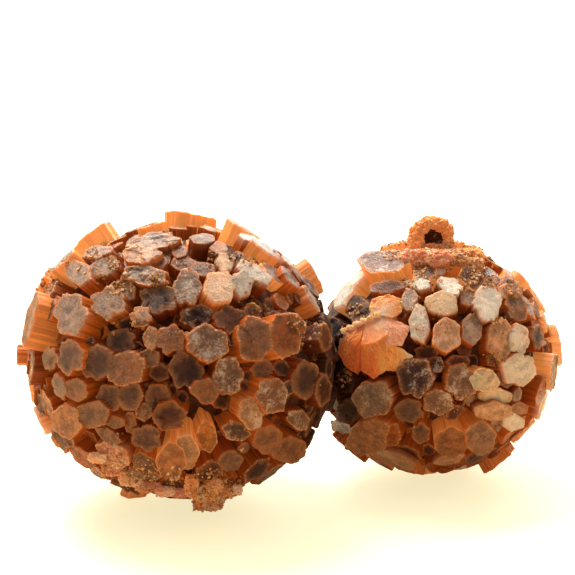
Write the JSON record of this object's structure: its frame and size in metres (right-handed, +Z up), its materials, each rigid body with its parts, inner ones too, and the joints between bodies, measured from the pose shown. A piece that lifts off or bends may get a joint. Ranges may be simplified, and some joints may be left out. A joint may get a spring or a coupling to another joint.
{
  "type": "aragonite sputnik cluster",
  "caption": "Natural aragonite sputnik cluster: flat-ended hexagonal crystals radiate as a larger spiny ball that has grown together with a smaller one at a waist.",
  "frame": {"origin": "middle of the cluster's box in X and Y, on the surface that it rests on", "axes": "+X runs along the cluster from the large ball to the small one, +Z is up, and the side seen from the front faces -Y"},
  "size_m": [0.0828, 0.0536, 0.0437],
  "materials": {
    "aragonite": "frosted crystal faces, waxy, slightly translucent"
  },
  "bodies": {
    "root": {"crystal_cluster": "aragonite"}
  },
  "joints": []
}
